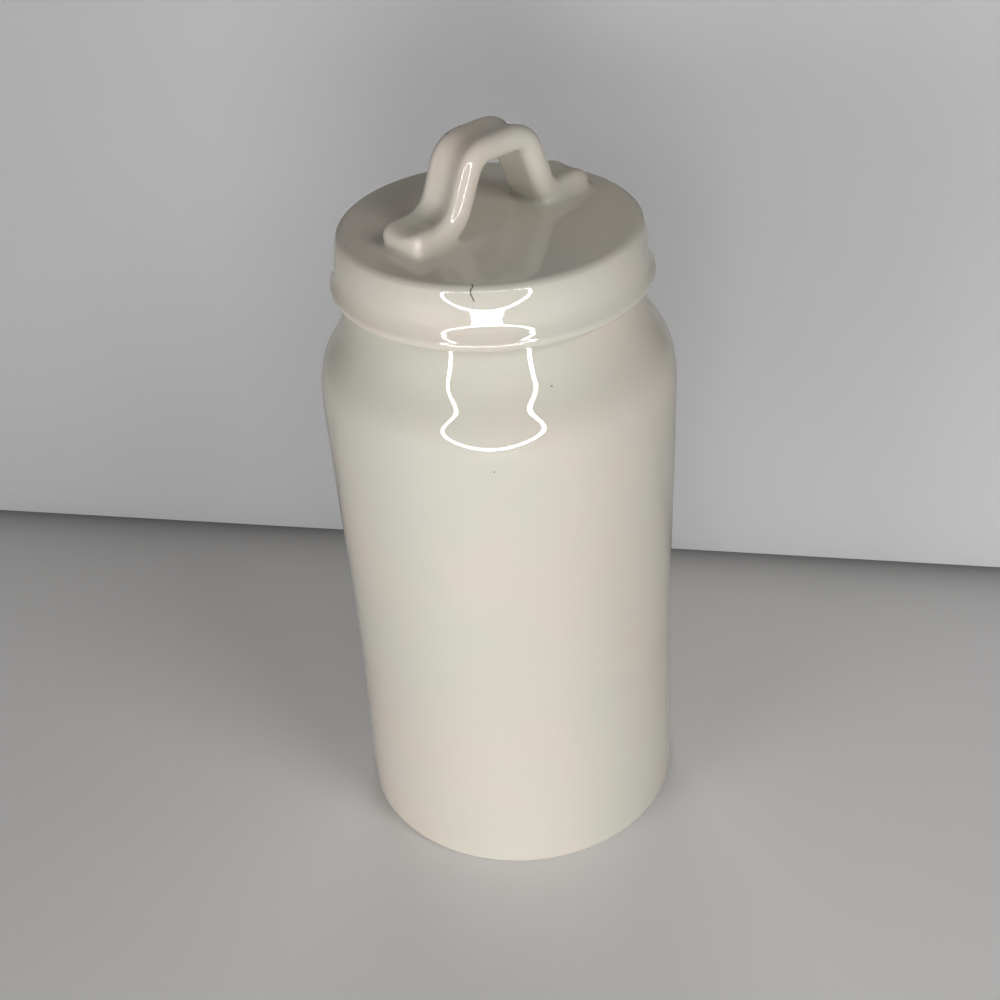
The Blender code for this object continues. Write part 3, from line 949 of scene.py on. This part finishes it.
# %% The silicone
MILKY = (0.80, 0.79, 0.76, 1.0)
CLOUDY = (0.74, 0.73, 0.69, 1.0)
DUST = (0.35, 0.33, 0.30, 1.0)
MILKINESS = (90.0, 2.0)
DUST_DOTS = (260.0, 0.12, 0.00009)
DUST_SHARE = 0.4
SATIN = (900.0, 2.0)
SATIN_HEIGHT = 0.000012
SATIN_ROUGHNESS = 0.40
SATIN_DRIFT = 0.14


def silicone_finish():
    """Milky silicone: satin, faintly cloudy, with the dust it always picks up."""
    material, bench, place = new_finish("milky_silicone")
    cloud = noise_field(bench, place, *MILKINESS, 3.0)
    dust = scattered_dots(bench, place, *DUST_DOTS, 4.0)
    colour = bench.blend(dust * DUST_SHARE, bench.blend(cloud, MILKY, CLOUDY), DUST)
    skin = noise_field(bench, place, *SATIN, 5.0)
    roughness = SATIN_ROUGHNESS + SATIN_DRIFT * cloud
    return finish_surface(bench, material, colour, roughness, skin * SATIN_HEIGHT)


SILICONE = silicone_finish()
print("silicone:", len(SILICONE.node_tree.nodes), "nodes")

# %% [markdown]
# ## Making the pieces
# With the wheel, the sections and the finishes ready, each piece is one line. The body may wander
# by up to 0.16 mm and the lid by 0.12 mm, in swells of about 3 cm, and always inwards, so that
# nothing grows out of the solid model's box. A wander is given by its depth, the size of its swells
# and a seed.

# %% Make the pieces
SHELL_STEPS = 240
SEAL_STEPS = 180
BODY_WANDER = (0.00016, 0.026, 4)
LID_WANDER = (0.00012, 0.03, 9)

jar_shell = throw("jar_shell", body_section(), BODY_GLAZE, SHELL_STEPS, *BODY_WANDER)
lid_shell = throw("lid_shell", lid_section(), LID_GLAZE, SHELL_STEPS, *LID_WANDER)
silicone_seal = throw("silicone_seal", seal_section(), SILICONE, SEAL_STEPS)
strap_handle = loft_strap(HANDLE_GLAZE)
foot_pools = pool_glaze(strap_handle, HANDLE_GLAZE)
print("strap_handle:", len(strap_handle.data.polygons), "faces;",
      "foot_glaze_pools:", len(foot_pools.data.polygons), "faces")

# %% [markdown]
# The jar stands still, the seal lifts, and the lid turns in the seal. So each piece rides on the
# body that really carries it: the strap and its pooled glaze on the lid, to which they were fired.
# Four of the pieces take the place of a plain solid, and the glaze pools are an extra that the
# solid model doesn't have.

# %% Put them on the solid model
for piece, body, node, finish in ((jar_shell, "jar", "jar_body", "jar_glaze"),
                                  (lid_shell, "lid", "lid", "lid_glaze"),
                                  (strap_handle, "lid", "lid_handle", "handle_glaze"),
                                  (silicone_seal, "seal", "seal_ring", "seal_silicone")):
    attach(piece, body)
    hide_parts(node)
    print(f"{piece.name} rides on {body} in place of {node}")
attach(foot_pools, "lid")
print(f"{foot_pools.name} rides on lid")

# %% [markdown]
# ## The table and the wall
# A glossy white thing looks like whatever is round it, so the studio matters as much as the glaze.
# The floor and the wall are plain and pale grey, and the wall stands close behind the jar. Where it
# stands is given by two points of its foot, and the directions across the view and along the wall
# follow from them.

# %% Where the boards stand
UP = Vector((0, 0, 1))
CAMERA_SIDE = Vector((-0.656, -0.7547, 0.0)).normalized()
ACROSS = CAMERA_SIDE.cross(UP)
WALL_FOOT = (Vector((-0.0260, 0.2863, 0.0)), Vector((0.2141, -0.0290, 0.0)))
ALONG_WALL = (WALL_FOOT[1] - WALL_FOOT[0]).normalized()
WALL_SIDE = Vector((ALONG_WALL.y, -ALONG_WALL.x, 0.0))
WALL_DISTANCE = WALL_SIDE.dot(WALL_FOOT[0])
print("wall stands", round(abs(WALL_DISTANCE) * 1000), "mm behind the jar's axis")

# %% [markdown]
# The boards are matt paint, faintly cloudy. A backdrop is brightened in its own material and never
# by more light on the jar: a painted glow is added for camera rays alone, which lights nothing. It
# grows from left to right on the wall. The floor gets a painted shade that darkens it into the
# corner under the wall, which casts no shadow of its own. From behind, the wall is clear, so that
# the jar can be seen from every side.

# %% Paint for the boards
FLOOR_GREY = (0.76, 0.75, 0.745, 1.0)
WALL_GREY = (0.57, 0.57, 0.585, 1.0)
BLACK = (0.0, 0.0, 0.0, 1.0)
CLOUDS = (4.0, 3.0)
CLOUD_SPAN = (0.3, 0.7)
CLOUD_SHADE = 0.96
PAINT_ROUGHNESS = 0.6
# Painted light: glows for camera rays alone on each board, low left, low right and high up.
FLOOR_PAINTED_GLOWS = (0.0, 0.04, 0.03)
WALL_PAINTED_GLOWS = (0.0, 0.12, 0.0)
GLOW_SPAN = (-0.22, 0.22)
GLOW_RISE = (-0.02, 0.24)
# Painted shade: how dark the floor is painted right under the wall, and how far that reaches.
PAINTED_CORNER_SHADE = 0.7
CORNER_REACH = 0.015


def flat_sheet(name, corners, finish):
    """A flat stage sheet through its corners."""
    mesh = bpy.data.meshes.new(name)
    mesh.from_pydata(corners, [], [tuple(range(len(corners)))])
    mesh.materials.append(finish)
    sheet = add_piece(name, mesh)
    return sheet


def painted_board(name, colour, painted_glows, seed, is_wall):
    """A matt painted board with three glows for the camera: low left, low right and high up."""
    material, bench, place = new_finish(name)
    cloud = noise_field(bench, place, *CLOUDS, seed)
    darker = tuple(value * CLOUD_SHADE for value in colour[:3]) + (1.0,)
    tone = bench.blend(cloud.step(*CLOUD_SPAN), darker, colour)
    axes = bench.add("ShaderNodeSeparateXYZ", None, {0: place})
    # Painted light: the glow grows from left to right across the view and turns to its high value
    # upwards.
    rightwards = (axes * -ACROSS.x - axes.output("Y") * ACROSS.y).step(*GLOW_SPAN)
    upwards = axes.output("Z").step(*GLOW_RISE)
    left, right, high = painted_glows
    painted_glow = (left + (right - left) * rightwards) * (1 - upwards) + high * upwards
    # Painted shade: the floor's paint and its glow fade towards black into the corner under the
    # wall.
    if not is_wall:
        gap = (axes * WALL_SIDE.x + axes.output("Y") * WALL_SIDE.y - WALL_DISTANCE).sum("ABSOLUTE")
        shade = (gap / -CORNER_REACH).sum("EXPONENT") * PAINTED_CORNER_SHADE
        tone = bench.blend(shade, tone, BLACK)
        painted_glow = painted_glow * (1 - shade)
    painted_glow = bench.add("ShaderNodeCombineColor", None, {0: painted_glow, 1: painted_glow, 2: painted_glow})
    seen = bench.add("ShaderNodeLightPath").output("Is Camera Ray")
    paint = bench.add("ShaderNodeBsdfPrincipled", None,
                      {"Base Color": tone, "Roughness": PAINT_ROUGHNESS,
                       "Emission Strength": 1.0,
                       "Emission Color": bench.blend(seen, BLACK, painted_glow)})
    if is_wall:
        clear = bench.add("ShaderNodeBsdfTransparent")
        back = bench.add("ShaderNodeNewGeometry").output("Backfacing")
        paint = bench.add("ShaderNodeMixShader", None, {0: back, 1: paint, 2: clear})
    bench.add("ShaderNodeOutputMaterial", None, {"Surface": paint})
    return material


FLOOR_PAINT = painted_board("floor_grey", FLOOR_GREY, FLOOR_PAINTED_GLOWS, 1.0, False)
WALL_PAINT = painted_board("wall_grey", WALL_GREY, WALL_PAINTED_GLOWS, 2.0, True)
print("paints:", FLOOR_PAINT.name, WALL_PAINT.name)

# %% [markdown]
# The boards themselves are two flat sheets: a wide floor with the jar in its middle, and a wall on
# the two points of its foot. The wall is there for the camera alone. It throws no shade on the
# floor, no grey light on the jar's back and no reflection into the glaze.

# %% Floor and wall
FLOOR_REACH = 4
WALL_REACH = 2.5

square = [(x * FLOOR_REACH, y * FLOOR_REACH, 0) for x, y in ((-1, -1), (1, -1), (1, 1), (-1, 1))]
flat_sheet("floor", square, FLOOR_PAINT)
middle = (WALL_FOOT[0] + WALL_FOOT[1]) / 2
foot = [middle + ALONG_WALL * reach for reach in (-WALL_REACH, WALL_REACH)]
wall = flat_sheet("wall", foot + [end + UP * WALL_REACH for end in reversed(foot)], WALL_PAINT)
wall.visible_shadow = False
wall.visible_diffuse = False
wall.visible_glossy = False
print("floor and wall:", FLOOR_REACH * 2, "m and", WALL_REACH * 2, "m wide")

# %% [markdown]
# ## The ring lamp
# The looped highlights are the reflection of one oval ring that hangs in front of the jar, a little
# below the camera. It is a flat glowing ribbon, drawn in real size, because the shape of a
# highlight is the lamp's own shape bent by the clay. It is there for the reflections alone. The
# camera doesn't see it, and the soft lamps of the next step do the lighting.

# %% The ring lamp
RING_PLACE = CAMERA_SIDE * 0.37 + ACROSS * 0.045 + UP * 0.322
RING_HALF_WIDTH = 0.207
RING_HALF_HEIGHT = 0.186
RING_TUBE = 0.019
RING_STRENGTH = 46.0
RING_STEPS = 128


def glowing(name, strength):
    """An evenly glowing finish for a lamp."""
    glow = bpy.data.materials.new(name)
    glow.use_nodes = True
    glow.node_tree.nodes.clear()
    bench = Bench(glow.node_tree)
    light = bench.add("ShaderNodeEmission", None, {"Strength": strength})
    bench.add("ShaderNodeOutputMaterial", None, {"Surface": light})
    return glow


def oval(grow):
    """Points round the ring, grown or shrunk by a distance."""
    angles = [math.tau * i / RING_STEPS for i in range(RING_STEPS)]
    return [RING_PLACE + ACROSS * (RING_HALF_WIDTH + grow) * math.cos(angle)
            + UP * (RING_HALF_HEIGHT + grow) * math.sin(angle) for angle in angles]


def ring_lamp():
    """A glowing flat oval ring that faces the jar and that the camera doesn't see."""
    corners = oval(-RING_TUBE / 2) + oval(RING_TUBE / 2)
    steps = [(i, (i + 1) % RING_STEPS) for i in range(RING_STEPS)]
    faces = [(i, j, RING_STEPS + j, RING_STEPS + i) for i, j in steps]
    mesh = bpy.data.meshes.new("ring_lamp")
    mesh.from_pydata(corners, [], faces)
    mesh.materials.append(glowing("ring_glow", RING_STRENGTH))
    lamp = add_piece("ring_lamp", mesh)
    lamp.visible_camera = False
    lamp.visible_diffuse = False
    return lamp


print("ring lamp:", len(ring_lamp().data.polygons), "faces")

# %% [markdown]
# ## The soft lamps
# Six square lamps stand low and high on both sides and behind, and light the clay without a mirror
# image of their own. Each is given by its turn from the camera's side in degrees, its distance,
# height and size in metres, and its power in watts. Together they leave the lid's flat top darker
# than the standing wall, since most of the light comes in low. A faint warm sky fills in what is
# left.

# %% The soft lamps and the sky
LAMPS = (("low_lamp", 0.0, 0.8, 0.06, 0.4, 3.7),
         ("left_low_lamp", -49.0, 1.0, 0.06, 0.4, 3.7),
         ("left_high_lamp", -49.0, 0.8, 0.75, 0.4, 0.9),
         ("right_low_lamp", 41.0, 1.0, 0.06, 0.4, 1.0),
         ("right_high_lamp", 41.0, 0.8, 0.75, 0.4, 2.7),
         ("back_lamp", 180.0, 1.2, 0.50, 0.6, 4.8))
LAMP_AIM = UP * 0.12
SKY_COLOUR = (1.0, 0.99, 0.97, 1.0)
SKY_STRENGTH = 0.06


def soft_lamp(name, side, distance, height, size, power):
    """A square soft lamp that faces the jar's middle and leaves no reflection of its own."""
    lamp = bpy.data.lights.new(name, "AREA")
    lamp.size = size
    lamp.energy = power
    holder = bpy.data.objects.new(name, lamp)
    bpy.context.scene.collection.objects.link(holder)
    turn = Matrix.Rotation(math.radians(side), 3, "Z")
    holder.location = turn @ CAMERA_SIDE * distance + UP * height
    holder.rotation_euler = (LAMP_AIM - holder.location).to_track_quat("-Z", "Y").to_euler()
    holder.visible_glossy = False


for lamp in LAMPS:
    soft_lamp(*lamp)
sky = bpy.data.worlds.new("studio_sky")
bpy.context.scene.world = sky
sky.use_nodes = True
backdrop = sky.node_tree.nodes["Background"]
backdrop.inputs["Color"].default_value = SKY_COLOUR
backdrop.inputs["Strength"].default_value = SKY_STRENGTH
print("soft lamps:", len(LAMPS))

# %% [markdown]
# ## The camera
# The jar is seen from above at about 34 degrees, from little more than half a metre. The camera's
# axes are given as three directions, to the right, down and ahead, and the lens is a plain 53 mm
# one on a 36 mm frame.

# %% The camera
CAMERA_PLACE = Vector((-0.30709785, -0.35327566, 0.45126844))
RIGHT = Vector((0.73211667, -0.67894102, -0.05517495))
DOWN = Vector((-0.4175717, -0.38332708, -0.823829))
AHEAD = Vector((0.53818125, 0.62617844, -0.5641467))
LENS = 53.495
FRAME_WIDTH = 36.0

camera = bpy.data.objects.new("camera", bpy.data.cameras.new("camera"))
bpy.context.scene.collection.objects.link(camera)
camera.data.lens = LENS
camera.data.sensor_width = FRAME_WIDTH
turned = Matrix((RIGHT, -DOWN, -AHEAD)).transposed().to_4x4()
camera.matrix_world = Matrix.Translation(CAMERA_PLACE) @ turned
bpy.context.scene.camera = camera
bpy.context.scene.view_settings.view_transform = "Standard"
print("camera stands", round(CAMERA_PLACE.length * 1000), "mm from the foot of the jar's axis")
